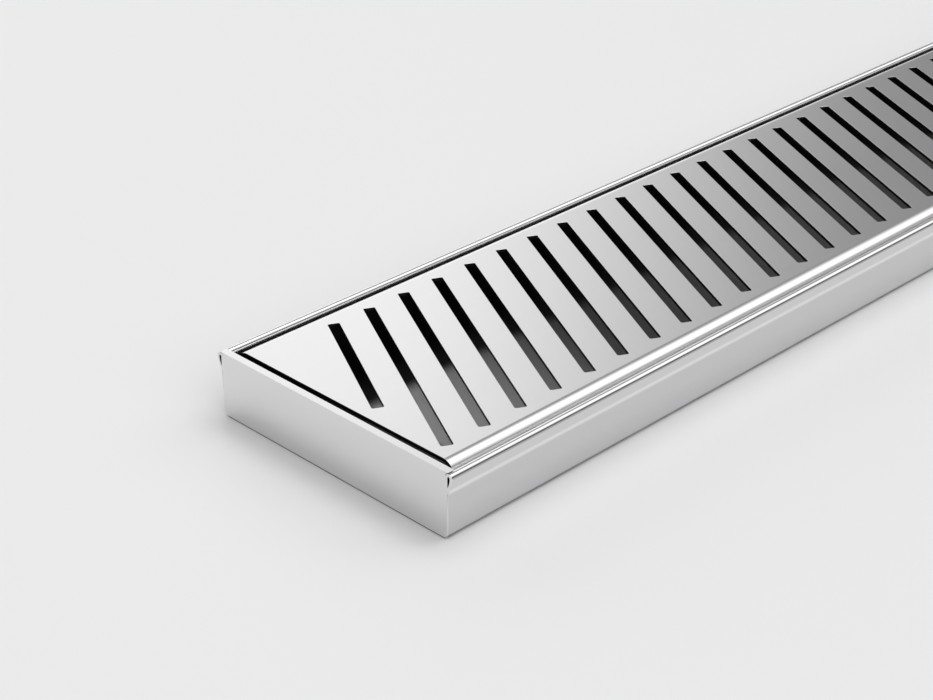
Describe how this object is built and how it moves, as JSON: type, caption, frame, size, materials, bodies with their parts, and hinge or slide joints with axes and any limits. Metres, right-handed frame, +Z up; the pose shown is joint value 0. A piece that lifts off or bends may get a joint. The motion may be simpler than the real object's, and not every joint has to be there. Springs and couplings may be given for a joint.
{
  "type": "linear shower drain",
  "caption": "Low folded stainless channel with hemmed round rims and flat closed ends, holding a slotted grate with slanting slots level with the rims, over a floor outlet with a strainer cap.",
  "frame": {"origin": "middle of the underside, on the surface that the drain lies on", "axes": "+X along the drain, +Y across it, +Z up through the grate"},
  "size_m": [0.9, 0.1, 0.0218],
  "materials": {
    "channel_steel": "bright satin stainless sheet, polished round the rims",
    "end_plate_steel": "bright satin stainless plate",
    "grate_steel": "fine brushed stainless sheet, polished round the two bends",
    "strainer_steel": "satin stainless pressing"
  },
  "bodies": {
    "root": {"channel_tray": "channel_steel", "end_plate_near": "end_plate_steel", "end_plate_far": "end_plate_steel", "grate": "grate_steel", "strainer": "strainer_steel"}
  },
  "joints": []
}
